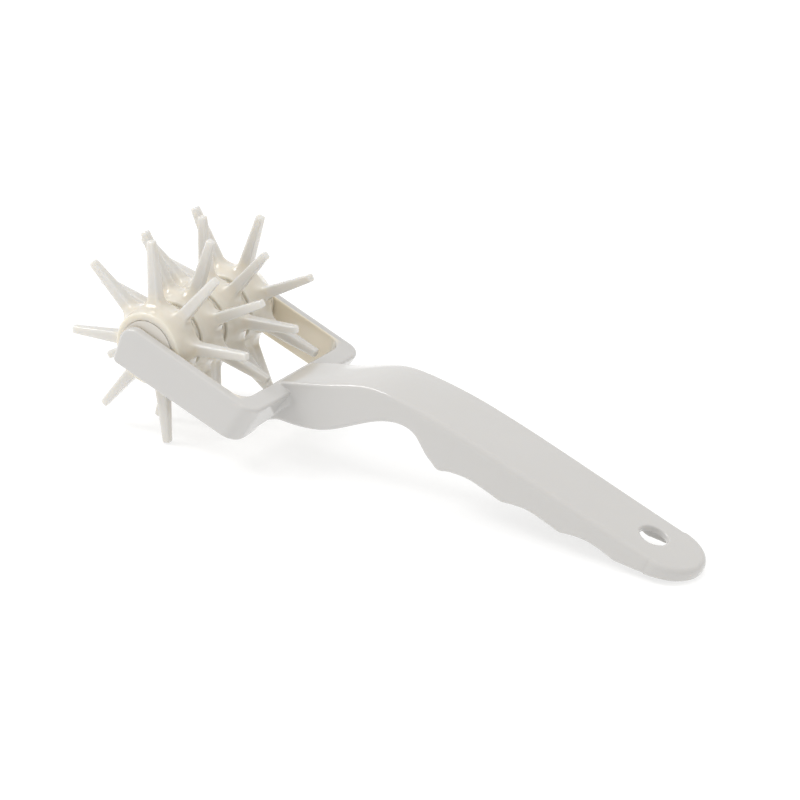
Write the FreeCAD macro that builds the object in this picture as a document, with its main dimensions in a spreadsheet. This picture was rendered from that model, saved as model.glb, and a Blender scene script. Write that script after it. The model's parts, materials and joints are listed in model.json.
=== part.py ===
import FreeCAD, Part
import math
import os

from FreeCAD import Placement, Rotation, Vector

import Sketcher

# A dough docker: a row of spiked star wheels on a keyed axle, which rolls between the
# arms of a one-piece forked handle.  Each piece is drawn with the roller's axis along Y
# through the origin and the grip towards +X.  At the end every piece is laid down the
# way the tool rests on a table: on its lowest spikes and on the tail of the grip.

SIZES = [
    # roller
    ("tip_radius", 32.0, "roller axis to the ends of the spikes"),
    ("spike_count", 8, "spikes on one star wheel"),
    ("wheel_count", 4, "star wheels on the axle"),
    ("wheel_length", 13.05, "hub of one star wheel along the axle"),
    ("wheel_gap", 0.15, "joint line between two hubs"),
    ("hub_near_radius", 11.3, "hub at its square end"),
    ("hub_crown_radius", 12.6, "hub under the spikes"),
    ("hub_far_radius", 10.3, "hub at its drafted end"),
    ("hub_edge", 0.6, "chamfer round the hub's square end"),
    ("crown_half", 1.9, "half width of the crown under the spikes"),
    ("spike_root_width", 7.4, "flared foot, inside the hub's skin"),
    ("spike_root_depth", 2.88, "how far under the crown the foot starts"),
    ("spike_foot_width", 3.8, "spike just above its foot"),
    ("spike_tip_width", 2.4, "spike at its blunt end"),
    ("spike_corner", 0.55, "rounding of the spike's four corners"),
    ("spike_foot_rise", 2.4, "height of the foot's flare above the crown"),
    ("spike_end_bevel", 0.4, "bevel round the blunt end, along the spike"),
    ("spike_end_inset", 0.28, "bevel round the blunt end, across the spike"),
    ("first_spike_angle", 24.5, "first spike of wheels 1 and 3, from +X towards +Z"),
    ("recess_depth", 0.75, "round recess in each end of a hub"),
    ("washer_radius", 8.9, "end washer, outside"),
    ("washer_thickness", 1.0, "end washer"),
    ("washer_clearance", 0.1, "round the washer in the hub's recess"),
    # axle
    ("core_radius", 5.0, "axle inside the wheels"),
    ("flat_depth", 0.8, "how deep each driving flat cuts into the core"),
    ("trunnion_radius", 3.0, "axle ends that turn in the arms"),
    ("trunnion_bevel", 0.5, "bevel on the axle's ends"),
    ("key_clearance", 0.05, "between the core and the wheels, all round"),
    ("running_clearance", 0.06, "between a trunnion and its socket, all round"),
    ("end_play", 0.32, "between each end washer and its arm"),
    # fork
    ("arm_thickness", 3.2, "each arm, across"),
    ("socket_depth", 2.3, "blind socket in each arm"),
    ("trunnion_reach", 1.9, "trunnion inside its socket"),
    ("arm_end", 8.2, "from the axis forward to the arm's end"),
    ("arm_top", 5.9, "top edge of the arm at its end"),
    ("arm_bottom", 8.1, "bottom edge of the arm at its end"),
    ("spike_clearance", 3.8, "between the ends of the spikes and the bridge"),
    ("bridge_thickness", 6.2, "bridge, along the tool at its top"),
    ("bridge_lean", 3.0, "how far the bridge's outer face leans in at the bottom"),
    ("bridge_top", 4.3, "top of the bridge"),
    ("bridge_bottom", 9.0, "bottom of the bridge"),
    ("gap_corner", 5.0, "inside corners of the fork"),
    ("fork_corner", 5.0, "outside corners of the fork"),
    ("arm_end_top_round", 5.0, "rounding of the arm's end at the top"),
    ("arm_end_low_round", 1.6, "rounding of the arm's end at the bottom"),
    ("fork_edge", 0.9, "rounding of the fork's outer edges"),
    # neck and grip
    ("tail_reach", 176.8, "from the axis back to the end of the grip"),
    ("grip_width", 24.2, "grip, across"),
    ("grip_top", 25.7, "top of the grip above the axis"),
    ("neck_width", 19.6, "narrowest place of the neck, across"),
    ("neck_setback", 1.5, "the neck's lower edge starts this far inside the bridge"),
    ("neck_lift", 0.6, "the neck's lower edge starts this far above the bridge's"),
    ("waist_reach", 48.0, "from the axis back to the narrowest place"),
    ("grip_start", 94.8, "from the axis back to the first finger rest"),
    ("grip_depth", 14.6, "height of the grip at the first finger rest"),
    ("rest_pitch", 21.8, "from the first finger rest to the second"),
    ("rest_shrink", 0.915, "each later pitch over the one before"),
    ("rest_hollow", 1.15, "depth of the hollow between two finger rests"),
    ("grip_taper", 0.108, "rise of the finger rests per length"),
    ("tail_thickness", 4.0, "grip at its end"),
    ("tail_drop", 0.3, "top of the grip at its end, below grip_top"),
    ("hole_radius", 4.3, "hanging hole"),
    ("hole_inset", 17.2, "from the end of the grip to the hole's axis"),
    ("grip_top_round", 2.6, "rounding of the grip's upper edges"),
    ("grip_low_round", 1.3, "rounding of the grip's lower edges"),
    ("hollow_wall", 2.2, "side walls of the grip round its hollow underside"),
    ("hollow_roof", 2.0, "top wall of the grip over its hollow underside"),
    ("hollow_start", 8.0, "from the first finger rest back to the hollow"),
]

# The S of the neck between the bridge and the first finger rest: shares of its length
# and of its rise, along the upper edge and along the lower one.
NECK_UPPER = [(0, 0), (0.215, 0.375), (0.50, 0.855), (0.67, 0.957), (0.89, 1)]
NECK_LOWER = [(0.25, 0.23), (0.35, 0.40), (0.57, 0.985), (0.67, 1.185), (0.758, 1.265),
              (0.82, 1.235), (0.91, 1.06)]
REST_COUNT = 4
HOLLOW_AT = 0.4  # deepest point of a hollow, as a share of the pitch between two rests
PRECISION = 0.02  # how closely edges are told apart and the floor is found

doc = FreeCAD.newDocument("dough_docker")
sheet = doc.addObject("Spreadsheet::Sheet", "sizes")
for row, (alias, number, meaning) in enumerate(SIZES, start=1):
    sheet.set("A%d" % row, meaning)
    sheet.set("B%d" % row, str(number))
    sheet.setAlias("B%d" % row, alias)
doc.recompute()


def size(alias):
    """The number that a cell of the sheet holds."""
    return float(getattr(sheet, alias))


def plane(body, role):
    """One of a body's own origin planes or axes."""
    for feature in body.Origin.OriginFeatures:
        if feature.Role == role:
            return feature
    raise ValueError(role)


def new_body(name):
    """An empty body whose label names its file."""
    body = doc.addObject("PartDesign::Body", name)
    body.Label = name
    return body


def new_sketch(body, name, role):
    """A sketch on one of the body's origin planes."""
    sketch = body.newObject("Sketcher::SketchObject", name)
    sketch.AttachmentSupport = [(plane(body, role), "")]
    sketch.MapMode = "FlatFace"
    return sketch


def bind(sketch, name, expression, *constraint):
    """Add a named dimension to a sketch and tie it to the sheet."""
    index = sketch.addConstraint(Sketcher.Constraint(*constraint))
    sketch.renameConstraint(index, name)
    sketch.setExpression("Constraints." + name, expression)


def circle(sketch, alias, expression=""):
    """A circle about the sketch's origin, tied to one size or to an expression."""
    ring = Part.Circle(Vector(0, 0, 0), Vector(0, 0, 1), size(alias))
    index = sketch.addGeometry(ring, False)
    sketch.addConstraint(Sketcher.Constraint("Coincident", index, 3, -1, 1))
    bind(sketch, "radius", expression or "sizes." + alias, "Radius", index, size(alias))


def outline(sketch, points):
    """A closed outline of straight lines through fixed points."""
    for start, end in zip(points, points[1:] + points[:1]):
        sketch.addGeometry(Part.LineSegment(Vector(*start, 0), Vector(*end, 0)), False)
    count = len(points)
    for index in range(count):
        joint = Sketcher.Constraint("Coincident", index, 2, (index + 1) % count, 1)
        sketch.addConstraint(joint)


def rounded_square(sketch, side, corner):
    """A square about the sketch's origin with four equal round corners."""
    half = side / 2
    flat = half - corner
    turns = [(flat, -flat), (flat, flat), (-flat, flat), (-flat, -flat)]
    for index, (x, y) in enumerate(turns):
        before = Vector(math.sin(math.pi / 2 * index), -math.cos(math.pi / 2 * index), 0)
        after = Vector(math.cos(math.pi / 2 * index), math.sin(math.pi / 2 * index), 0)
        centre = Vector(x, y, 0)
        last = Vector(*turns[index - 1], 0)
        line = Part.LineSegment(last + before * corner, centre + before * corner)
        sketch.addGeometry(line, False)
        middle = centre + (before + after).normalize() * corner
        bend = Part.Arc(centre + before * corner, middle, centre + after * corner)
        sketch.addGeometry(bend, False)
    for index in range(8):
        tangent = Sketcher.Constraint("Tangent", index, 2, (index + 1) % 8, 1)
        sketch.addConstraint(tangent)
    for index, direction in ((0, "Horizontal"), (2, "Vertical"),
                             (4, "Horizontal"), (6, "Vertical")):
        sketch.addConstraint(Sketcher.Constraint(direction, index))
    for index in (3, 5, 7):
        sketch.addConstraint(Sketcher.Constraint("Equal", 1, index))
    sketch.addConstraint(Sketcher.Constraint("Symmetric", 1, 3, 5, 3, -1, 1))


def edge_names(shape, chosen):
    """Names of the shape's edges that a test picks."""
    return ["Edge%d" % number for number, edge in enumerate(shape.Edges, start=1)
            if chosen(edge)]


def round_edges(body, name, alias, chosen):
    """Fillet the picked edges of the body's present shape."""
    doc.recompute()
    base = body.Tip
    feature = body.newObject("PartDesign::Fillet", name)
    feature.Base = (base, edge_names(base.Shape, chosen))
    feature.setExpression("Radius", "sizes." + alias)
    doc.recompute()
    return feature


def pad_across(body, name, sketch, expression):
    """A pad of the sketch, half to each side of its plane."""
    feature = body.newObject("PartDesign::Pad", name)
    feature.Profile = sketch
    feature.Midplane = True
    feature.setExpression("Length", expression)
    return feature


def pocket_across(body, name, sketch, expression):
    """A pocket of the sketch, half to each side of its plane."""
    feature = body.newObject("PartDesign::Pocket", name)
    feature.Profile = sketch
    feature.Midplane = True
    feature.setExpression("Length", expression)
    return feature


# ---- where things lie along the roller's axis -------------------------------------
wheel_pitch = size("wheel_length") + size("wheel_gap")
hubs_length = size("wheel_count") * wheel_pitch - size("wheel_gap")
core_length = hubs_length - 2 * size("recess_depth")
roller_length = core_length + 2 * size("washer_thickness")
arm_gap = roller_length + 2 * size("end_play")
fork_width = arm_gap + 2 * size("arm_thickness")
bridge_inner = size("tip_radius") + size("spike_clearance")
bridge_outer = bridge_inner + size("bridge_thickness")
CORE_LENGTH = ("(sizes.wheel_count * (sizes.wheel_length + sizes.wheel_gap)"
               " - sizes.wheel_gap - 2 * sizes.recess_depth)")
ARM_GAP = "(%s + 2 * sizes.washer_thickness + 2 * sizes.end_play)" % CORE_LENGTH
FORK_WIDTH = "(%s + 2 * sizes.arm_thickness)" % ARM_GAP
SOCKET_SPAN = "(%s + 2 * sizes.socket_depth)" % ARM_GAP
AXLE_SPAN = "(%s + 2 * sizes.trunnion_reach)" % ARM_GAP


def key_outline(sketch, clearance):
    """A circle with two driving flats, the section of the axle's core."""
    radius = size("core_radius") + clearance
    half = size("core_radius") - size("flat_depth") + clearance
    reach = math.sqrt(radius ** 2 - half ** 2)
    right = [Vector(reach, -half, 0), Vector(radius, 0, 0), Vector(reach, half, 0)]
    left = [Vector(-reach, half, 0), Vector(-radius, 0, 0), Vector(-reach, -half, 0)]
    sketch.addGeometry(Part.Arc(*right), False)
    sketch.addGeometry(Part.LineSegment(right[2], left[0]), False)
    sketch.addGeometry(Part.Arc(*left), False)
    sketch.addGeometry(Part.LineSegment(left[2], right[0]), False)
    for index in range(4):
        joint = Sketcher.Constraint("Coincident", index, 2, (index + 1) % 4, 1)
        sketch.addConstraint(joint)
    for index in (0, 2):
        sketch.addConstraint(Sketcher.Constraint("Coincident", index, 3, -1, 1))
    for index in (1, 3):
        sketch.addConstraint(Sketcher.Constraint("Horizontal", index))
    sketch.addConstraint(Sketcher.Constraint("Equal", 0, 2))
    margin = " + sizes.key_clearance" if clearance else ""
    bind(sketch, "core", "sizes.core_radius" + margin, "Radius", 0, radius)
    flat = "sizes.core_radius - sizes.flat_depth" + margin
    bind(sketch, "flat_above", flat, "DistanceY", -1, 1, 1, 1, half)
    bind(sketch, "flat_below", flat, "DistanceY", 3, 1, -1, 1, half)


def make_star_wheel(name, number):
    """One moulded wheel: a drafted hub with a crown of tapered, blunt spikes."""
    body = new_body(name)
    length = size("wheel_length")
    crown = size("crown_half")
    bevel = size("hub_edge")
    profile = new_sketch(body, name + "_hub_profile", "XY_Plane")
    recess = size("washer_radius") + size("washer_clearance")
    floor = length / 2 - size("recess_depth")
    outline(profile, [
        (0, -floor),
        (recess, -floor),
        (recess, -length / 2),
        (size("hub_near_radius") - bevel, -length / 2),
        (size("hub_near_radius"), bevel - length / 2),
        (size("hub_crown_radius"), -crown),
        (size("hub_crown_radius"), crown),
        (size("hub_far_radius"), length / 2),
        (recess, length / 2),
        (recess, floor),
        (0, floor),
    ])
    hub = body.newObject("PartDesign::Revolution", name + "_hub")
    hub.Profile = profile
    hub.ReferenceAxis = (profile, ["V_Axis"])
    hub.Angle = 360

    crown_radius = "sizes.hub_crown_radius"
    levels = [
        ("root", "sizes.spike_root_width", crown_radius + " - sizes.spike_root_depth"),
        ("foot", "sizes.spike_foot_width", crown_radius + " + sizes.spike_foot_rise"),
        ("shoulder", "sizes.spike_tip_width", "sizes.tip_radius - sizes.spike_end_bevel"),
        ("end", "(sizes.spike_tip_width - 2 * sizes.spike_end_inset)", "sizes.tip_radius"),
    ]
    sides = {
        "root": size("spike_root_width"),
        "foot": size("spike_foot_width"),
        "shoulder": size("spike_tip_width"),
        "end": size("spike_tip_width") - 2 * size("spike_end_inset"),
    }
    sections = []
    for level, side, height in levels:
        section = new_sketch(body, "%s_spike_%s" % (name, level), "XY_Plane")
        section.setExpression("AttachmentOffset.Base.z", height)
        rounded_square(section, sides[level], size("spike_corner"))
        bind(section, "corner", "sizes.spike_corner", "Radius", 1, size("spike_corner"))
        bind(section, "across", side, "DistanceX", 6, 1, 2, 1, sides[level])
        bind(section, "along", side, "DistanceY", 0, 1, 4, 1, sides[level])
        sections.append(section)
    spike = body.newObject("PartDesign::AdditiveLoft", name + "_spike")
    spike.Profile = sections[0]
    spike.Sections = sections[1:]
    spike.Ruled = True
    doc.recompute()

    ring = body.newObject("PartDesign::PolarPattern", name + "_spikes")
    ring.Originals = [spike]
    ring.Axis = (plane(body, "Y_Axis"), [""])
    ring.Angle = 360
    ring.setExpression("Occurrences", "sizes.spike_count")
    body.Tip = ring
    doc.recompute()

    bore = new_sketch(body, name + "_bore", "XZ_Plane")
    key_outline(bore, size("key_clearance"))
    # the spikes stand a known turn round from the flats, and every second wheel
    # is keyed half a spike pitch further on
    half_pitch = 180 / size("spike_count")
    turn = 90 - size("first_spike_angle") + (number % 2) * half_pitch
    bore.AttachmentOffset = Placement(Vector(0, 0, 0), Rotation(Vector(0, 0, 1), turn))
    pocket_across(body, name + "_keyed_bore", bore, "2 * sizes.wheel_length")
    doc.recompute()

    row = number - (size("wheel_count") - 1) / 2
    turned = Rotation(Vector(0, 1, 0), turn)
    return body, Placement(Vector(0, row * wheel_pitch, 0), turned)


def make_axle(name):
    """The keyed axle that joins the wheels and turns in the arms' sockets."""
    body = new_body(name)
    core = new_sketch(body, name + "_core_outline", "XZ_Plane")
    key_outline(core, 0)
    pad_across(body, name + "_core", core, CORE_LENGTH)
    ends = new_sketch(body, name + "_trunnion_outline", "XZ_Plane")
    circle(ends, "trunnion_radius")
    pad_across(body, name + "_trunnions", ends, AXLE_SPAN)
    doc.recompute()
    far = arm_gap / 2 + size("trunnion_reach") - PRECISION
    base = body.Tip
    bevel = body.newObject("PartDesign::Chamfer", name + "_bevels")
    bevel.Base = (base, edge_names(base.Shape, lambda e: abs(e.CenterOfMass.y) > far))
    bevel.setExpression("Size", "sizes.trunnion_bevel")
    doc.recompute()
    return body, Placement()


def make_end_washer(name, side):
    """The thrust washer between the last hub and an arm; side is -1 or 1."""
    body = new_body(name)
    ring = new_sketch(body, name + "_outline", "XZ_Plane")
    circle(ring, "washer_radius")
    pad_across(body, name + "_disc", ring, "sizes.washer_thickness")
    hole = new_sketch(body, name + "_hole_outline", "XZ_Plane")
    circle(hole, "trunnion_radius", "sizes.trunnion_radius + sizes.key_clearance")
    pocket_across(body, name + "_hole", hole, "2 * sizes.washer_thickness")
    doc.recompute()
    middle = (core_length + size("washer_thickness")) / 2
    return body, Placement(Vector(0, side * middle, 0), Rotation())


def finger_rests():
    """Lower edge of the grip: the rests and the hollows between them."""
    x = size("grip_start")
    z = size("grip_top") - size("grip_depth")
    pitch = size("rest_pitch")
    points = [(x, z)]
    for rest in range(REST_COUNT - 1):
        hollow = HOLLOW_AT * pitch
        points.append((x + hollow, z + size("grip_taper") * hollow + size("rest_hollow")))
        x += pitch
        z += size("grip_taper") * pitch
        points.append((x, z))
        pitch *= size("rest_shrink")
    return points


def curve(sketch, points, **ends):
    """A smooth curve through the points, added to a sketch and returned."""
    spline = Part.BSplineCurve()
    spline.interpolate([Vector(x, y, 0) for x, y in points], **ends)
    sketch.addGeometry(spline, False)
    return spline


def make_handle(name):
    """Fork, neck and grip in one moulding."""
    body = new_body(name)
    tail = size("tail_reach")
    top = size("grip_top")
    start = bridge_inner
    foot = size("bridge_bottom")
    tail_top = top - size("tail_drop")
    tail_bottom = tail_top - size("tail_thickness")
    run = size("grip_start") - start
    rise = top - size("bridge_top")
    drop = top - size("grip_depth") + foot

    # neck and grip seen from the side
    side = new_sketch(body, name + "_side_view", "XZ_Plane")
    upper = [(start + along * run, size("bridge_top") + up * rise) for along, up in NECK_UPPER]
    upper += [(tail - 2 * REST_COUNT * size("tail_thickness"), top), (tail, tail_top)]
    rests = finger_rests()
    last_x, last_z = rests[-1]
    lower = [(start + size("neck_setback"), size("neck_lift") - foot)]
    lower += [(start + along * run, up * drop - foot) for along, up in NECK_LOWER]
    lower += rests
    lower += [((last_x + tail) / 2, (last_z + tail_bottom) / 2), (tail, tail_bottom)]
    upper_edge = curve(side, upper)
    side.addGeometry(Part.LineSegment(Vector(*upper[-1], 0), Vector(*lower[-1], 0)), False)
    lower_edge = curve(side, lower[::-1])
    side.addGeometry(Part.LineSegment(Vector(*lower[0], 0), Vector(*upper[0], 0)), False)
    pad_across(body, name + "_neck_and_grip", side, "sizes.grip_width")

    # plan view: everything outside the waist of the neck and the round tail is cut off
    half = size("grip_width") / 2
    waist = size("neck_width") / 2
    plan = new_sketch(body, name + "_plan_view", "XY_Plane")
    near = start - half
    beyond = tail + half
    outline(plan, [(near, -2 * half), (beyond, -2 * half), (beyond, 2 * half), (near, 2 * half)])
    tail_centre = tail - half
    inside = start - size("neck_setback")
    waist_end = size("waist_reach")
    for sign in (1, -1):
        flank = [
            (inside, sign * waist),
            (waist_end, sign * waist),
            (0.5 * (waist_end + size("grip_start")), sign * 0.5 * (waist + half)),
            (size("grip_start"), sign * half),
        ]
        level = Vector(1, 0, 0)
        curve(plan, flank, InitialTangent=level, FinalTangent=level)
        straight = Part.LineSegment(Vector(*flank[-1], 0), Vector(tail_centre, sign * half, 0))
        plan.addGeometry(straight, False)
    across = Part.LineSegment(Vector(inside, waist, 0), Vector(inside, -waist, 0))
    plan.addGeometry(across, False)
    tail_arc = Part.Arc(Vector(tail_centre, -half, 0), Vector(tail, 0, 0),
                        Vector(tail_centre, half, 0))
    plan.addGeometry(tail_arc, False)
    pocket_across(body, name + "_plan_trim", plan, "4 * sizes.grip_top")

    def lies_on(edge_curve):
        """A test for edges of the grip that run along a curve of its side view."""
        line = edge_curve.toShape()

        def test(edge):
            middle = edge.valueAt(edge.getParameterByLength(edge.Length / 2))
            spot = Part.Vertex(middle.x, middle.z, 0)
            return abs(middle.y) > 1 and line.distToShape(spot)[0] < PRECISION

        return test

    round_edges(body, name + "_upper_rounding", "grip_top_round", lies_on(upper_edge))
    round_edges(body, name + "_lower_rounding", "grip_low_round", lies_on(lower_edge))
    hollow_grip(body, name)
    return finish_handle(body, name)


def hollow_grip(body, name):
    """Core the grip out from below, up to its top wall."""
    half = size("grip_width") / 2
    side = half - size("hollow_wall")
    start = size("grip_start") + size("hollow_start")
    centre = size("tail_reach") - half
    corners = [Vector(centre, side, 0), Vector(start, side, 0),
               Vector(start, -side, 0), Vector(centre, -side, 0)]
    outline_below = new_sketch(body, name + "_hollow_outline", "XY_Plane")
    for first, last in zip(corners, corners[1:]):
        outline_below.addGeometry(Part.LineSegment(first, last), False)
    tail_end = Vector(centre + side, 0, 0)
    outline_below.addGeometry(Part.Arc(corners[-1], tail_end, corners[0]), False)
    hollow = body.newObject("PartDesign::Pocket", name + "_hollow")
    hollow.Profile = outline_below
    hollow.Reversed = True
    hollow.setExpression("Length", "sizes.grip_top - sizes.tail_drop - sizes.hollow_roof")
    doc.recompute()


def finish_handle(body, name):
    """Add the fork to the neck, and cut the roller's gap, the sockets and the hole."""
    end = size("arm_end")
    inner = bridge_inner
    outer = bridge_outer
    fork = new_sketch(body, name + "_fork_side_view", "XZ_Plane")
    outline(fork, [
        (-end, -size("arm_bottom")),
        (outer - size("bridge_lean"), -size("bridge_bottom")),
        (outer, size("bridge_top")),
        (-end, size("arm_top")),
    ])
    pad_across(body, name + "_fork", fork, FORK_WIDTH)
    doc.recompute()

    gap = new_sketch(body, name + "_gap_outline", "XY_Plane")
    half = arm_gap / 2
    corner = size("gap_corner")
    mouth = -end - corner
    low = [Vector(mouth, -half, 0), Vector(inner - corner, -half, 0)]
    across = [Vector(inner, corner - half, 0), Vector(inner, half - corner, 0)]
    high = [Vector(inner - corner, half, 0), Vector(mouth, half, 0)]
    bulge = corner * (1 - math.sqrt(0.5))
    gap.addGeometry(Part.LineSegment(*low), False)
    gap.addGeometry(Part.Arc(low[1], Vector(inner - bulge, bulge - half, 0), across[0]), False)
    gap.addGeometry(Part.LineSegment(*across), False)
    gap.addGeometry(Part.Arc(across[1], Vector(inner - bulge, half - bulge, 0), high[0]), False)
    gap.addGeometry(Part.LineSegment(*high), False)
    gap.addGeometry(Part.LineSegment(high[1], low[0]), False)
    pocket_across(body, name + "_gap", gap, "4 * sizes.bridge_bottom")

    socket = new_sketch(body, name + "_socket_outline", "XZ_Plane")
    circle(socket, "trunnion_radius", "sizes.trunnion_radius + sizes.running_clearance")
    pocket_across(body, name + "_sockets", socket, SOCKET_SPAN)

    hole = new_sketch(body, name + "_hole_outline", "XY_Plane")
    circle(hole, "hole_radius")
    hole.setExpression("AttachmentOffset.Base.x", "sizes.tail_reach - sizes.hole_inset")
    pocket_across(body, name + "_hanging_hole", hole, "4 * sizes.grip_top")
    doc.recompute()

    tall = size("bridge_top") + size("bridge_bottom") - size("tail_drop")

    def upright(edge):
        """Outside corners of the fork, at the bridge."""
        box = edge.BoundBox
        outside = abs(box.Center.y) > fork_width / 2 - PRECISION
        return outside and box.XMin > inner and box.ZLength > tall

    def arm_corner(level):
        """Level edges of the arms' free ends, above or below the axis."""
        def test(edge):
            box = edge.BoundBox
            at_end = abs(box.Center.x + end) < PRECISION
            return at_end and box.ZLength < PRECISION and level * box.Center.z > 0

        return test

    round_edges(body, name + "_fork_corners", "fork_corner", upright)
    round_edges(body, name + "_arm_end_tops", "arm_end_top_round", arm_corner(1))
    round_edges(body, name + "_arm_end_lows", "arm_end_low_round", arm_corner(-1))

    def outside_edge(edge):
        """Long edges of the arms' outer faces, with the bends that go on from them."""
        box = edge.BoundBox
        outside = abs(abs(box.Center.y) - fork_width / 2) < PRECISION
        return outside and box.YLength < PRECISION and box.XLength > corner

    round_edges(body, name + "_outer_edges", "fork_edge", outside_edge)
    return body, Placement()


def lay_down(roller_points, handle_points):
    """The placement that stands the tool on its lowest spikes and its tail.

    Each list holds (x, y, z) of points on the surfaces.  The tool is turned about Y
    until both touch one floor, then shifted so that the middle of its box's underside
    is the origin.
    """
    def floor(points, turn):
        sine, cosine = math.sin(turn), math.cos(turn)
        return min(cosine * z - sine * x for x, _, z in points)

    tail = [point for point in handle_points if point[0] > size("grip_start")]
    low, high = 0, math.pi / 4
    while high - low > 1e-6:
        turn = (low + high) / 2
        if floor(tail, turn) > floor(roller_points, turn):
            low = turn
        else:
            high = turn
    sine, cosine = math.sin(turn), math.cos(turn)
    reach = [cosine * x + sine * z for x, _, z in roller_points + handle_points]
    below = floor(roller_points + handle_points, turn)
    shift = Vector(-(min(reach) + max(reach)) / 2, 0, -below)
    return Placement(shift, Rotation(Vector(0, 1, 0), math.degrees(turn)))


pieces = []
for number in range(int(size("wheel_count"))):
    pieces.append(make_star_wheel("star_wheel_%d" % (number + 1), number))
pieces.append(make_axle("roller_axle"))
for side, place in ((-1, "front"), (1, "back")):
    pieces.append(make_end_washer("end_washer_" + place, side))
pieces.append(make_handle("handle"))

doc.recompute()
for item in doc.Objects:
    for flag in item.State:
        if flag in ("Invalid", "Error"):
            raise RuntimeError("%s: %s" % (item.Name, flag))
roller_points = []
handle_points = []
for body, placement in pieces:
    body.Placement = placement
    points = roller_points if body.Label.startswith("star_wheel") else handle_points
    points += [tuple(point) for point in body.Shape.tessellate(PRECISION)[0]]
laid = lay_down(roller_points, handle_points)
for body, placement in pieces:
    body.Placement = laid.multiply(placement)
print("laid down by", round(math.degrees(laid.Rotation.Angle), 3), "degrees; axis at", laid.Base)
doc.recompute()
os.makedirs("parts", exist_ok=True)
for body, placement in pieces:
    shape = body.Shape
    if shape.isNull() or not shape.isValid():
        raise RuntimeError("bad shape: " + body.Label)
    print(body.Label, round(shape.Volume, 1), len(shape.Solids), shape.BoundBox)
    shape.exportStep("parts/%s.step" % body.Label)
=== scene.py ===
import json
import logging
import math
from collections.abc import Callable, Sequence
from dataclasses import dataclass
from enum import Enum

import bpy
import numpy as np
from mathutils import Matrix, Vector


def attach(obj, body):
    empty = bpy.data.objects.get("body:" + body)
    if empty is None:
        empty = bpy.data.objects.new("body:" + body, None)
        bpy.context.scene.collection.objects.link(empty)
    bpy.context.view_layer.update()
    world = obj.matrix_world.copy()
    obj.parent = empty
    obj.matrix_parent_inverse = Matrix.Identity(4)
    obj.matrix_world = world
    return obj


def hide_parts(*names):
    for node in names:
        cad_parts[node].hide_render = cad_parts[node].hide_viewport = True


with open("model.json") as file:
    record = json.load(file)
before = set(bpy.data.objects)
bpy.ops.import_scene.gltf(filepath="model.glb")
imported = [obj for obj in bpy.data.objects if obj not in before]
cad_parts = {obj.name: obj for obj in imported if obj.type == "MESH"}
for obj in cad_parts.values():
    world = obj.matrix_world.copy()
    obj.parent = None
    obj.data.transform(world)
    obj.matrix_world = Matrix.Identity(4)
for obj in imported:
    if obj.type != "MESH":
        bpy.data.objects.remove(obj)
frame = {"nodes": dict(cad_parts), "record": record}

# A dough docker: four spiked star wheels on one axle, turning in a one-piece forked
# handle.  The classes below hold their sizes in millimetres in the tool's own frame:
# the roller's axis is Y through the origin and the grip runs towards +X.  RestPose
# lays that frame down on the table.

log = logging.getLogger("dough_docker")
MM = 0.001
Array = np.ndarray
Field = Callable[[Array, Array, Array], Array]


# ---- shapes as fields: negative inside, in millimetres ------------------------------
def rounded_meet(first: Array, second: Array, radius: Array | float) -> Array:
    """The part inside both fields, with its shared edge rounded.

    Args:
        first: Signed distances of one shape.
        second: Signed distances of the other.
        radius: Radius of the convex rounding.

    Returns:
        Signed distances of what they share.
    """
    reach = np.hypot(np.maximum(first + radius, 0), np.maximum(second + radius, 0))
    return np.minimum(np.maximum(first, second), -radius) + reach


def rounded_join(first: Array, second: Array, radius: Array | float) -> Array:
    """Both fields together, with a concave fillet where they meet.

    Args:
        first: Signed distances of one shape.
        second: Signed distances of the other.
        radius: Radius of the fillet.

    Returns:
        Signed distances of the joined shape.
    """
    return -rounded_meet(-first, -second, radius)


def ramp(value: Array, start: float, end: float) -> Array:
    """A smooth step from 0 at start to 1 at end."""
    share = np.clip((value - start) / (end - start), 0, 1)
    return share * share * (3 - 2 * share)


class FairCurve:
    """A natural cubic spline through points, straight beyond its ends."""

    def __init__(self, points: Sequence[tuple[float, float]]) -> None:
        """Fit the spline.

        Args:
            points: (station, height) pairs, stations rising.
        """
        self.at, self.height = np.array(points, float).T
        gap = np.diff(self.at)
        slope = np.diff(self.height) / gap
        count = len(self.at)
        system = np.eye(count)
        right = np.zeros(count)
        for i in range(1, count - 1):
            system[i, i - 1 : i + 2] = gap[i - 1], 2 * (gap[i - 1] + gap[i]), gap[i]
            right[i] = 6 * (slope[i] - slope[i - 1])
        self.bend = np.linalg.solve(system, right)

    def _span(self, station: Array) -> tuple[Array, Array, Array]:
        """Span number, its length, and the distance into it."""
        inside = np.clip(station, self.at[0], self.at[-1])
        span = np.clip(np.searchsorted(self.at, inside) - 1, 0, len(self.at) - 2)
        return span, self.at[span + 1] - self.at[span], inside - self.at[span]

    def slope(self, station: Array) -> Array:
        """The curve's rise per length at each station."""
        span, gap, step = self._span(station)
        low, high = self.bend[span], self.bend[span + 1]
        chord = (self.height[span + 1] - self.height[span]) / gap
        return (
            chord
            - gap * (2 * low + high) / 6
            + low * step
            + (high - low) * step**2 / (2 * gap)
        )

    def __call__(self, station: Array) -> Array:
        """The curve's height at each station."""
        span, gap, step = self._span(station)
        low, high = self.bend[span], self.bend[span + 1]
        chord = (self.height[span + 1] - self.height[span]) / gap
        along = chord - gap * (2 * low + high) / 6
        inner = self.height[span] + step * (
            along + step * (low / 2 + step * (high - low) / (6 * gap))
        )
        beyond = station - np.clip(station, self.at[0], self.at[-1])
        return inner + beyond * self.slope(station)


# ---- meshes -------------------------------------------------------------------------
DRAW_ROUNDS = 8  # times the points are drawn onto the surface
SLOPE_STEP = 0.02  # half the distance a slope is measured over
TINY = 1e-9


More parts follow.
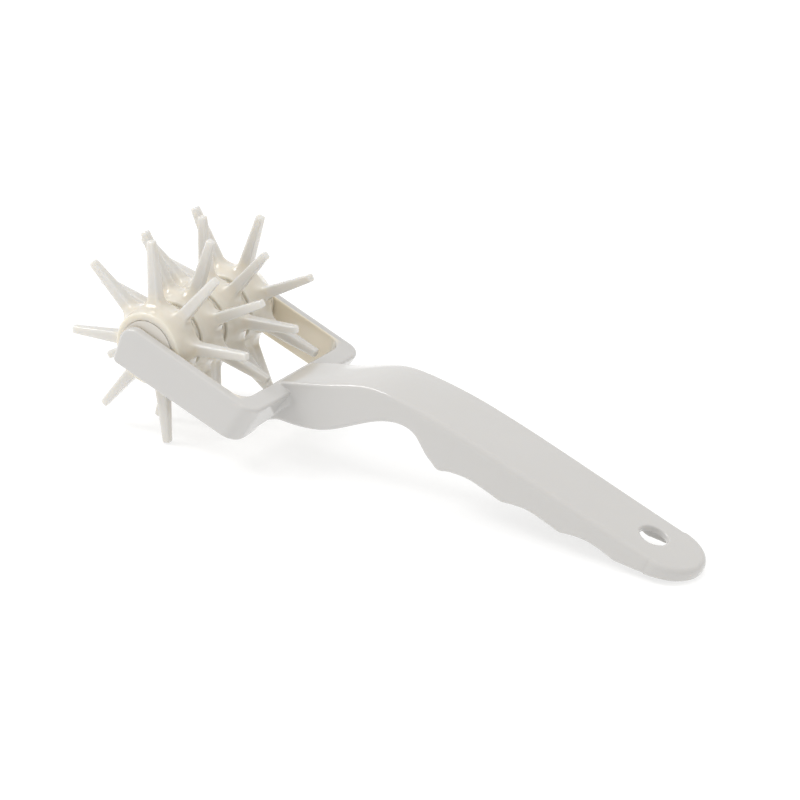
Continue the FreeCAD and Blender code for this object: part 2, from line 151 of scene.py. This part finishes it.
@dataclass
class Skin:
    """The points, faces and normals of one surface, in millimetres."""

    points: Array
    faces: Array
    normals: Array

    @classmethod
    def of_field(
        cls,
        field: Field,
        low: Sequence[float],
        high: Sequence[float],
        step: float,
    ) -> "Skin":
        """The surface where a field is zero, as one closed net of quads.

        Args:
            field: Signed distance for arrays of x, y and z.
            low: Lowest corner of the space to look in.
            high: Highest corner of that space.
            step: Size of a quad.

        Returns:
            The net, its points drawn onto the surface.
        """
        axes = [np.arange(a, b + step, step) for a, b in zip(low, high)]
        inside = field(*np.meshgrid(*axes, indexing="ij", sparse=True)) < 0
        corners = np.zeros([n - 1 for n in inside.shape], np.int8)
        for dx in (0, 1):
            for dy in (0, 1):
                for dz in (0, 1):
                    nx, ny, nz = (n - 1 for n in inside.shape)
                    corners += inside[dx : dx + nx, dy : dy + ny, dz : dz + nz]
        active = (corners > 0) & (corners < 8)
        number = np.full(active.shape, -1, np.int64)
        number[active] = np.arange(active.sum())
        points = np.array(low, float) + (np.argwhere(active) + 0.5) * step
        for _ in range(DRAW_ROUNDS):
            value, slope = cls._slope(field, points)
            move = slope * (value / (slope**2).sum(1))[:, None]
            length = np.linalg.norm(move, axis=1, keepdims=True)
            points -= move * np.minimum(1, 0.5 * step / np.maximum(length, TINY))
        slope = cls._slope(field, points)[1]
        faces = [cls._around_edges(inside, number, axis) for axis in range(3)]
        normals = slope / np.linalg.norm(slope, axis=1)[:, None]
        return cls(points, np.concatenate(faces), normals)

    @staticmethod
    def _slope(field: Field, points: Array) -> tuple[Array, Array]:
        """The field's value and its gradient at each point."""
        gradient = np.empty_like(points)
        for axis in range(3):
            shift = np.zeros(3)
            shift[axis] = SLOPE_STEP
            ahead, behind = points + shift, points - shift
            gradient[:, axis] = (field(*ahead.T) - field(*behind.T)) / (2 * SLOPE_STEP)
        return field(*points.T), gradient

    @staticmethod
    def _around_edges(inside: Array, number: Array, axis: int) -> Array:
        """The quads round every grid edge along one axis that the surface crosses."""
        turned = np.moveaxis(inside, (axis, (axis + 1) % 3, (axis + 2) % 3), (0, 1, 2))
        cell = np.moveaxis(number, (axis, (axis + 1) % 3, (axis + 2) % 3), (0, 1, 2))
        start, end = turned[:-1, 1:-1, 1:-1], turned[1:, 1:-1, 1:-1]
        i, j, k = np.nonzero(start != end)
        quads = np.stack(
            [cell[i, j, k], cell[i, j + 1, k], cell[i, j + 1, k + 1], cell[i, j, k + 1]], axis=1
        )
        outward = start[i, j, k]
        return np.where(outward[:, None], quads, quads[:, ::-1])

    def to_mesh(self, name: str, tilt: float) -> bpy.types.Mesh:
        """A Blender mesh of this skin, in metres, with its true normals.

        Args:
            name: Name of the mesh.
            tilt: Turn about Y that lays the skin down, in radians.

        Returns:
            The mesh, shaded smooth.
        """
        turn = np.array(Matrix.Rotation(tilt, 3, "Y")).T
        mesh = bpy.data.meshes.new(name)
        mesh.from_pydata((self.points @ turn * MM).tolist(), [], self.faces.tolist())
        mesh.shade_smooth()
        mesh.normals_split_custom_set_from_vertices((self.normals @ turn).tolist())
        return mesh


# ---- finishes -----------------------------------------------------------------------
class Shading(Enum):
    """Where a plastic has warm bounce light painted into its colour, lighter and warmer than its
    own tone.
    """

    EVEN = "nowhere"
    NEAR_AXIS = "close to the roller's axis"
    INSIDE_FORK = "on the inside of the fork's arms and bridge"


@dataclass(frozen=True)
class MouldedPlastic:
    """Glossy injection-moulded plastic with faint flow marks, handling haze and, where its
    shading says, painted warm bounce light.
    """

    name: str
    colour: tuple[float, float, float]
    flow_colour: tuple[float, float, float]
    shading: Shading = Shading.EVEN
    # Painted warm bounce light: its colour, the reach from the axis where it fades out, and the
    # half width and edge of the fork's inside.
    painted_bounce_colour: tuple[float, float, float] = (0.8, 0.735, 0.6)
    painted_bounce_until: float = 12.5
    plain_from: float = 21.0
    painted_bounce_half_width: float = 27.0
    painted_bounce_edge: float = 0.6
    roughness: float = 0.24
    haze: float = 0.10
    refraction: float = 1.49
    translucency: float = 0.12
    glow_depth: float = 3.0
    glow_by_colour: tuple[float, float, float] = (1.0, 0.88, 0.7)
    gloss: float = 0.0
    gloss_roughness: float = 0.06
    flow_scale: float = 38.0
    smear_scale: float = 3.1
    grain_scale: float = 900.0
    grain_strength: float = 0.06
    grain_height: float = 0.00004

    def material(self) -> bpy.types.Material:
        """Build the node material.

        Returns:
            The finished material.
        """
        made = bpy.data.materials.new(self.name)
        made.use_nodes = True
        tree = made.node_tree
        shader = tree.nodes["Principled BSDF"]
        shader.inputs["IOR"].default_value = self.refraction
        shader.inputs["Subsurface Weight"].default_value = self.translucency
        shader.inputs["Subsurface Radius"].default_value = self.glow_by_colour
        shader.inputs["Subsurface Scale"].default_value = self.glow_depth * MM
        shader.inputs["Coat Weight"].default_value = self.gloss
        shader.inputs["Coat Roughness"].default_value = self.gloss_roughness
        place = tree.nodes.new("ShaderNodeTexCoord")
        flow = self._noise(tree, place, self.flow_scale, 3)
        tone = tree.nodes.new("ShaderNodeMix")
        tone.data_type = "RGBA"
        tone.inputs["A"].default_value = (*self.colour, 1)
        tone.inputs["B"].default_value = (*self.flow_colour, 1)
        tree.links.new(flow.outputs["Fac"], tone.inputs["Factor"])
        colour = tone.outputs["Result"]
        # Painted bounce light: a lighter, warmer tone blended in where the shading says.
        if self.shading is not Shading.EVEN:
            colour = self._paint_bounce_light(tree, place, colour)
        tree.links.new(colour, shader.inputs["Base Color"])

        haze = tree.nodes.new("ShaderNodeMapRange")
        haze.inputs["To Min"].default_value = self.roughness - self.haze / 2
        haze.inputs["To Max"].default_value = self.roughness + self.haze / 2
        smear = self._noise(tree, place, self.smear_scale * self.flow_scale, 4)
        tree.links.new(smear.outputs["Fac"], haze.inputs["Value"])
        tree.links.new(haze.outputs["Result"], shader.inputs["Roughness"])

        grain = self._noise(tree, place, self.grain_scale, 2)
        bump = tree.nodes.new("ShaderNodeBump")
        bump.inputs["Strength"].default_value = self.grain_strength
        bump.inputs["Distance"].default_value = self.grain_height
        tree.links.new(grain.outputs["Fac"], bump.inputs["Height"])
        tree.links.new(bump.outputs["Normal"], shader.inputs["Normal"])
        return made

    @staticmethod
    def _noise(
        tree: bpy.types.NodeTree, place: bpy.types.Node, scale: float, detail: float
    ) -> bpy.types.Node:
        """A noise texture in the piece's own space."""
        noise = tree.nodes.new("ShaderNodeTexNoise")
        noise.inputs["Scale"].default_value = scale
        noise.inputs["Detail"].default_value = detail
        tree.links.new(place.outputs["Object"], noise.inputs["Vector"])
        return noise

    def _paint_bounce_light(
        self, tree: bpy.types.NodeTree, place: bpy.types.Node, colour: bpy.types.NodeSocket
    ) -> bpy.types.NodeSocket:
        """Blend in the painted warm bounce light where the shading says."""
        flat = tree.nodes.new("ShaderNodeVectorMath")
        flat.operation = "MULTIPLY"
        flat.inputs[1].default_value = (1, 0, 1)
        tree.links.new(place.outputs["Object"], flat.inputs[0])
        reach = tree.nodes.new("ShaderNodeVectorMath")
        reach.operation = "LENGTH"
        tree.links.new(flat.outputs["Vector"], reach.inputs[0])
        share = self._step(tree, reach.outputs["Value"], self.painted_bounce_until, self.plain_from)
        if self.shading is Shading.INSIDE_FORK:
            parts = tree.nodes.new("ShaderNodeSeparateXYZ")
            tree.links.new(place.outputs["Object"], parts.inputs["Vector"])
            across = tree.nodes.new("ShaderNodeMath")
            across.operation = "ABSOLUTE"
            tree.links.new(parts.outputs["Y"], across.inputs[0])
            past = self.painted_bounce_half_width + self.painted_bounce_edge
            edge = self._step(tree, across.outputs["Value"], self.painted_bounce_half_width, past)
            either = tree.nodes.new("ShaderNodeMath")
            either.operation = "MAXIMUM"
            tree.links.new(share, either.inputs[0])
            tree.links.new(edge, either.inputs[1])
            share = either.outputs["Value"]
        mix = tree.nodes.new("ShaderNodeMix")
        mix.data_type = "RGBA"
        mix.inputs["A"].default_value = (*self.painted_bounce_colour, 1)
        tree.links.new(share, mix.inputs["Factor"])
        tree.links.new(colour, mix.inputs["B"])
        return mix.outputs["Result"]

    @staticmethod
    def _step(
        tree: bpy.types.NodeTree, value: bpy.types.NodeSocket, start: float, end: float
    ) -> bpy.types.NodeSocket:
        """A smooth step from 0 to 1 between two lengths in millimetres."""
        share = tree.nodes.new("ShaderNodeMapRange")
        share.interpolation_type = "SMOOTHSTEP"
        share.inputs["From Min"].default_value = start * MM
        share.inputs["From Max"].default_value = end * MM
        tree.links.new(value, share.inputs["Value"])
        return share.outputs["Result"]


# Its warm tone inside the fork is painted bounce light from the roller, not a colour of the
# plastic.
WHITE_PLASTIC = MouldedPlastic(
    "white_handle_plastic",
    (0.545, 0.537, 0.525),
    (0.525, 0.515, 0.50),
    shading=Shading.INSIDE_FORK,
    painted_bounce_colour=(0.82, 0.745, 0.60),
    painted_bounce_until=31.0,
    plain_from=36.5,
    roughness=0.15,
    haze=0.06,
    gloss=0.7,
)
# Its warm tone near the axis is painted bounce light on the hub and the spikes' feet, not a
# colour of the plastic.
IVORY_PLASTIC = MouldedPlastic(
    "ivory_spike_plastic",
    (0.575, 0.571, 0.56),
    (0.55, 0.543, 0.526),
    shading=Shading.NEAR_AXIS,
    painted_bounce_colour=(0.665, 0.622, 0.537),
    painted_bounce_until=11.5,
    plain_from=18.0,
    roughness=0.14,
    haze=0.06,
    translucency=0.7,
    glow_depth=6.0,
    gloss=0.7,
)
WASHER_PLASTIC = MouldedPlastic(
    "washer_plastic", (0.68, 0.65, 0.60), (0.64, 0.61, 0.56), roughness=0.22, flow_scale=90
)
AXLE_PLASTIC = MouldedPlastic(
    "axle_plastic", (0.52, 0.51, 0.48), (0.46, 0.45, 0.42), roughness=0.45, flow_scale=120
)


# ---- the object ---------------------------------------------------------------------
WHEEL_COUNT = 4


@dataclass(frozen=True)
class RestPose:
    """Where the tool's own frame lies in the row's frame."""

    axis_at: Vector
    tilt: float

    @classmethod
    def of_record(cls, record: dict) -> "RestPose":
        """Read the roller's axis from its joint and the tilt from the hanging hole."""
        joint = record["behaviour"]["joints"][0]
        lean = record["mounts"][0]["axis"]
        return cls(Vector(joint["pos_m"]), math.atan2(lean[0], lean[2]))


def place_piece(mesh: bpy.types.Mesh, place: Vector, finish: MouldedPlastic) -> bpy.types.Object:
    """Put a finished mesh into the scene.

    Args:
        mesh: The piece's mesh, already laid down; its name becomes the piece's.
        place: Where the mesh's origin lies in the row's frame, in metres.
        finish: Its plastic.

    Returns:
        The new object.
    """
    piece = bpy.data.objects.new(mesh.name, mesh)
    bpy.context.scene.collection.objects.link(piece)
    piece.location = place
    mesh.materials.append(finish.material())
    return piece


@dataclass
class Handle:
    """Fork, neck and grip in one moulding."""

    rest: RestPose
    quad: float = 0.5
    # fork
    arm_outer: float = 30.09
    arm_inner: float = 26.9
    arm_end: float = 8.2
    arm_top: float = 5.9
    arm_bottom: float = 8.1
    bridge_inner: float = 35.8
    bridge_outer: float = 42.0
    bridge_lean: float = 3.0
    bridge_top: float = 4.3
    bridge_bottom: float = 9.0
    corner: float = 5.0
    arm_end_low_round: float = 1.6
    edge_round: float = 1.0
    mouth_round: float = 0.45
    socket_radius: float = 3.06
    socket_depth: float = 2.3
    # undercut beside the neck
    rim_level: float = -5.6
    rim_height: float = 8.2
    rim_start: float = 9.6
    rim_sweep: float = 1.5
    rim_reach: float = 3.0
    rim_edge: float = 0.9
    undercut: float = 1.9
    undercut_span: tuple[float, float] = (9.0, 27.0)
    web_least: float = 0.4
    web_more: float = 3.2
    web_span: tuple[float, float] = (-1.0, 3.6)
    # grip
    tail: float = 176.8
    half_width: float = 12.1
    waist: float = 9.8
    hole_at: float = 159.6
    hole_radius: float = 4.3
    hole_round: float = 0.5
    low_round: float = 1.3
    low_arch: float = 0.4
    side_draft: float = 0.03
    draft_depth: float = 14.0
    crown: float = 1.2
    crown_span: tuple[float, float] = (40.0, 56.0)
    crown_loss: float = 0.8
    crown_loss_span: tuple[float, float] = (70.0, 94.0)
    crown_power: float = 2.2
    ridge_round: float = 0.9
    ridge_more: float = 1.0
    ridge_span: tuple[float, float] = (66.0, 94.0)
    rest_peaks: tuple[tuple[float, float], ...] = (
        (94.8, 0.9),
        (116.6, 0.4),
        (136.55, 0.4),
        (154.8, 0.35),
    )
    rest_peak_length: float = 2.0
    hollow_start: float = 102.8
    hollow_roof: float = 23.4
    hollow_wall: float = 2.2
    hollow_corner: float = 2.0
    hollow_round: float = 0.8
    hollow_mouth_round: float = 0.3
    # space the mesh is looked for in
    margin: float = 1.3
    highest: float = 27.0

    def __post_init__(self) -> None:
        """Draw the grip's curves."""
        self.upper = FairCurve([
            (35.8, 4.3), (48.5, 12.3), (65.3, 22.6), (75.3, 24.8),
            (88.3, 25.7), (144.8, 25.7), (176.8, 25.4),
        ])
        self.lower = FairCurve([
            (37.3, -8.4), (50.55, -4.4), (56.45, -0.95), (69.4, 10.8), (75.3, 14.8),
            (80.5, 16.4), (84.2, 15.8), (89.5, 12.3),
            (94.8, 11.1), (103.5, 13.2), (116.6, 13.45), (124.6, 15.45),
            (136.55, 15.6), (143.85, 17.55), (154.8, 17.6), (165.8, 19.5), (176.8, 21.4),
        ])
        # Past its last point the flank runs on straight and narrows by 0.009 per length,
        # so the sides step out by about 0.45 where the round end begins.
        self.flank = FairCurve([
            (34.0, self.waist), (48.0, self.waist), (71.4, 11.0),
            (94.8, self.half_width), (110.0, self.half_width),
        ])

    def fork_field(self, x: Array, y: Array, z: Array) -> Array:
        """Signed distance of the arms and bridge, before the gap is cut."""
        across = np.abs(y)
        length = self.bridge_outer + self.arm_end
        above = z - self.arm_top + (self.arm_top - self.bridge_top) * (x + self.arm_end) / length
        fall = (self.bridge_bottom - self.arm_bottom) / length
        below = -z - self.arm_bottom - fall * (x + self.arm_end)
        height = self.bridge_top + self.bridge_bottom
        outer = (x - self.bridge_outer) * height - (z - self.bridge_top) * self.bridge_lean
        outer = outer / math.hypot(height, self.bridge_lean)

        past_start = np.clip(across - self.rim_start, -self.rim_reach, None)
        drop = np.exp(-past_start / self.rim_sweep)
        rim = self.rim_level + self.rim_height * drop
        inside_rim = (rim - z) / np.hypot(1, self.rim_height * drop / self.rim_sweep)
        depth = self.undercut * (1 - ramp(across, *self.undercut_span)) ** 2
        outer = outer + depth * ramp(inside_rim, 0, self.rim_edge)

        side = rounded_meet(above, -self.arm_end - x, self.corner)
        side = rounded_meet(side, below, self.arm_end_low_round)
        walls = rounded_meet(across - self.arm_outer, outer, self.corner)
        return rounded_meet(side, walls, self.edge_round)

    def grip_field(self, x: Array, y: Array, z: Array) -> Array:
        """Signed distance of the neck and the grip, with its hole and hollow."""
        across = np.abs(y)
        half = np.minimum(self.flank(x), self.half_width)
        top = self.upper(x)
        share = np.minimum(across / half, 1.0)
        crown = self.crown * ramp(x, *self.crown_span)
        crown = crown - self.crown_loss * ramp(x, *self.crown_loss_span)
        above = z - top + crown * share**self.crown_power
        above = above / np.hypot(1, self.upper.slope(x))
        low = self.lower(x) + self.low_arch * share**2
        for at, height in self.rest_peaks:
            low = low - height * np.exp(-(((x - at) / self.rest_peak_length) ** 2))
        below = (low - z) / np.hypot(1, self.lower.slope(x))
        centre = self.tail - self.half_width
        round_end = np.hypot(x - centre, y) - self.half_width
        plan = np.where(x > centre, round_end, across - half)
        plan = plan + self.side_draft * np.clip(top - z, 0, self.draft_depth)
        ridge = self.ridge_round + self.ridge_more * ramp(x, *self.ridge_span)
        body = rounded_meet(plan, above, ridge)
        body = rounded_meet(body, below, self.low_round)
        hole = self.hole_radius - np.hypot(x - self.hole_at, y)
        body = rounded_meet(body, hole, self.hole_round)
        inside = np.where(x > centre, round_end, across - self.half_width)
        inside = inside + self.hollow_wall
        hollow = rounded_meet(inside, self.hollow_start - x, self.hollow_corner)
        hollow = rounded_meet(hollow, z - self.hollow_roof, self.hollow_round)
        return rounded_meet(body, -hollow, self.hollow_mouth_round)

    def field(self, x: Array, y: Array, z: Array) -> Array:
        """Signed distance of the whole handle."""
        across = np.abs(y)
        web = self.web_least + self.web_more * (1 - ramp(z, *self.web_span))
        whole = rounded_join(self.fork_field(x, y, z), self.grip_field(x, y, z), web)
        gap = rounded_meet(across - self.arm_inner, x - self.bridge_inner, self.corner)
        whole = rounded_meet(whole, -gap, self.mouth_round)
        socket = np.maximum(
            np.hypot(x, z) - self.socket_radius, across - self.arm_inner - self.socket_depth
        )
        return np.maximum(whole, -socket)

    def build(self) -> bpy.types.Object:
        """Mesh the handle and let it stand for its CAD node.

        Returns:
            The handle.
        """
        side = self.arm_outer + self.margin
        low = (-self.arm_end - self.margin, -side, -self.bridge_bottom - self.margin)
        high = (self.tail + self.margin, side, self.highest)
        skin = Skin.of_field(self.field, low, high, self.quad)
        mesh = skin.to_mesh("moulded_handle", self.rest.tilt)
        piece = place_piece(mesh, self.rest.axis_at, WHITE_PLASTIC)
        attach(piece, "handle")
        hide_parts("handle")
        log.info("%s: %d quads", piece.name, len(skin.faces))
        return piece


@dataclass
class StarWheel:
    """One moulded wheel: a drafted hub with a crown of eight blunt spikes."""

    rest: RestPose
    number: int
    quad: float = 0.4
    row_pitch: float = 13.2
    length: float = 13.16
    near_radius: float = 11.3
    crown_radius: float = 12.6
    far_radius: float = 10.3
    near_edge: float = 0.45
    far_edge: float = 0.2
    bore: float = 5.05
    bore_flat: float = 4.25
    recess: float = 9.0
    recess_depth: float = 0.75
    spike_count: int = 8
    first_angle: float = 24.5
    tip: float = 32.0
    tip_width: float = 2.4
    tip_round: float = 0.4
    foot_width: float = 3.75
    foot_at: float = 15.0
    corner: float = 0.55
    fillet: float = 2.6
    margin_quads: float = 2.5

    def __post_init__(self) -> None:
        """Draw the hub's outside from its near end to its far end."""
        end = self.length / 2
        self.outside = FairCurve([
            (-end, self.near_radius), (-3.9, 11.9), (-1.9, 12.5), (0.2, self.crown_radius),
            (2.4, 12.2), (4.6, 11.2), (end, self.far_radius),
        ])

    def hub_field(self, x: Array, y: Array, z: Array) -> Array:
        """Signed distance of the hub, solid."""
        end = self.length / 2
        round_wall = (np.hypot(x, z) - self.outside(y)) / np.hypot(1, self.outside.slope(y))
        hub = rounded_meet(round_wall, -end - y, self.near_edge)
        return rounded_meet(hub, y - end, self.far_edge)

    def spike_field(self, x: Array, y: Array, z: Array) -> Array:
        """Signed distance of the nearest of the equally spaced spikes."""
        pitch = 2 * math.pi / self.spike_count
        start = math.radians(self.first_angle) - pitch / 2 * (self.number % 2)
        bearing = np.arctan2(z, x) - start
        bearing = bearing - pitch * np.round(bearing / pitch)
        out = np.hypot(x, z) * np.cos(bearing)
        aside = np.abs(np.hypot(x, z) * np.sin(bearing))
        draft = (self.foot_width - self.tip_width) / 2 / (self.tip - self.foot_at)
        half = self.tip_width / 2 + draft * (self.tip - out)
        bar = rounded_meet(aside - half, np.abs(y) - half, self.corner)
        return rounded_meet(bar, out - self.tip, self.tip_round)

    def field(self, x: Array, y: Array, z: Array) -> Array:
        """Signed distance of the whole wheel, with its recesses and keyed bore."""
        wheel = rounded_join(self.hub_field(x, y, z), self.spike_field(x, y, z), self.fillet)
        floor = self.length / 2 - self.recess_depth
        recess = np.maximum(np.hypot(x, z) - self.recess, floor - np.abs(y))
        bore = np.maximum(np.hypot(x, z) - self.bore, np.abs(z) - self.bore_flat)
        return np.maximum(wheel, -np.minimum(recess, bore))

    def build(self) -> bpy.types.Object:
        """Mesh the wheel and let it stand for its CAD node.

        Returns:
            The wheel.
        """
        margin = self.margin_quads * self.quad
        reach = self.tip + margin
        end = self.length / 2 + margin
        skin = Skin.of_field(self.field, (-reach, -end, -reach), (reach, end, reach), self.quad)
        name = "star_wheel_%d" % (self.number + 1)
        row = (self.number - (WHEEL_COUNT - 1) / 2) * self.row_pitch
        place = self.rest.axis_at + Vector((0, row * MM, 0))
        mesh = skin.to_mesh("moulded_" + name, self.rest.tilt)
        piece = place_piece(mesh, place, IVORY_PLASTIC)
        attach(piece, "roller")
        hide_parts(name)
        log.info("%s: %d quads", piece.name, len(skin.faces))
        return piece


@dataclass
class Axle:
    """The axle and the two end washers, which keep their CAD shapes."""

    nodes: dict[str, bpy.types.Object]

    def dress(self) -> None:
        """Give each piece its plastic."""
        wear = {
            "roller_axle": AXLE_PLASTIC,
            "end_washer_front": WASHER_PLASTIC,
            "end_washer_back": WASHER_PLASTIC,
        }
        for name, finish in wear.items():
            piece = self.nodes[name]
            piece.data.materials.clear()
            piece.data.materials.append(finish.material())
            log.info("%s: dressed", name)


# ---- the studio ---------------------------------------------------------------------
@dataclass(frozen=True)
class Softbox:
    """One rectangular area light that looks at the object."""

    name: str
    place: tuple[float, float, float]
    size: tuple[float, float]
    power: float
    along: tuple[float, float, float] = (1, 0, 0)
    mirrored: bool = True

    def build(self) -> bpy.types.Object:
        """Add the light, its longer side turned towards its along direction.

        Returns:
            The lamp; it shows in glossy surfaces only where it is mirrored.
        """
        data = bpy.data.lights.new(self.name, "AREA")
        data.shape = "RECTANGLE"
        data.size, data.size_y = self.size
        data.energy = self.power
        lamp = bpy.data.objects.new(self.name, data)
        away = Vector(self.place).normalized()
        side = Vector(self.along) - away * away.dot(Vector(self.along))
        side.normalize()
        turn = Matrix((side, away.cross(side), away)).transposed()
        lamp.matrix_world = Matrix.Translation(self.place) @ turn.to_4x4()
        lamp.visible_glossy = self.mirrored
        bpy.context.scene.collection.objects.link(lamp)
        return lamp


@dataclass
class Studio:
    """A pale floor that glows like a light table, soft light and the camera."""

    floor_colour: tuple[float, float, float] = (0.42, 0.42, 0.417)
    floor_glow: float = 0.64
    floor_roughness: float = 0.9
    floor_shine: float = 0.1
    floor_half: float = 3.0
    floor_level: float = -0.0002
    sky_colour: tuple[float, float, float] = (1.0, 0.99, 0.975)
    sky_strength: float = 0.84
    camera_at: tuple[float, float, float] = (0.4875, -0.8245, 0.4514)
    aim_at: tuple[float, float, float] = (-0.0136, 0.0250, 0.0138)
    roll: float = 3.44
    lens: float = 159.6

    def build_floor(self) -> None:
        """Lay the floor just under the object."""
        mesh = bpy.data.meshes.new("floor")
        half = self.floor_half
        corners = [(-half, -half, 0), (half, -half, 0), (half, half, 0), (-half, half, 0)]
        mesh.from_pydata(corners, [], [(0, 1, 2, 3)])
        made = bpy.data.materials.new("pale_floor")
        made.use_nodes = True
        shader = made.node_tree.nodes["Principled BSDF"]
        shader.inputs["Base Color"].default_value = (*self.floor_colour, 1)
        shader.inputs["Roughness"].default_value = self.floor_roughness
        shader.inputs["Specular IOR Level"].default_value = self.floor_shine
        shader.inputs["Emission Color"].default_value = (1, 1, 1, 1)
        shader.inputs["Emission Strength"].default_value = self.floor_glow
        mesh.materials.append(made)
        floor = bpy.data.objects.new("floor", mesh)
        floor.location.z = self.floor_level
        bpy.context.scene.collection.objects.link(floor)

    def build_light(self) -> None:
        """Add the sky and the softboxes."""
        world = bpy.data.worlds.new("studio_sky")
        world.use_nodes = True
        sky = world.node_tree.nodes["Background"]
        sky.inputs["Color"].default_value = (*self.sky_colour, 1)
        sky.inputs["Strength"].default_value = self.sky_strength
        bpy.context.scene.world = world
        bpy.context.scene.view_settings.view_transform = "Standard"
        boxes = [
            Softbox("ridge_softbox", (-0.72, -0.41, 0.81), (0.7, 0.3), 4.6, (0.29, -0.14, 0.19)),
            Softbox("top_fill", (0.1, 0.1, 1.3), (0.9, 0.9), 4.4, mirrored=False),
        ]
        for box in boxes:
            box.build()

    def build_camera(self) -> None:
        """Set up the camera: it looks at the aim point with a small roll."""
        data = bpy.data.cameras.new("camera")
        data.lens = self.lens
        camera = bpy.data.objects.new("camera", data)
        camera.location = self.camera_at
        look = Vector(self.aim_at) - Vector(self.camera_at)
        level = look.to_track_quat("-Z", "Y").to_matrix().to_4x4()
        roll = Matrix.Rotation(math.radians(self.roll), 4, "Z")
        camera.matrix_world = Matrix.Translation(self.camera_at) @ level @ roll
        bpy.context.scene.collection.objects.link(camera)
        bpy.context.scene.camera = camera

    def build(self) -> None:
        """Build the whole studio."""
        self.build_floor()
        self.build_light()
        self.build_camera()


def main() -> None:
    """Build every piece in order, then the studio."""
    logging.basicConfig(level=logging.INFO, format="%(name)s: %(message)s")
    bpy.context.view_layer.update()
    rest = RestPose.of_record(frame["record"])
    Handle(rest).build()
    for number in range(WHEEL_COUNT):
        StarWheel(rest, number).build()
    Axle(frame["nodes"]).dress()
    Studio().build()


if __name__ == "__main__":
    main()
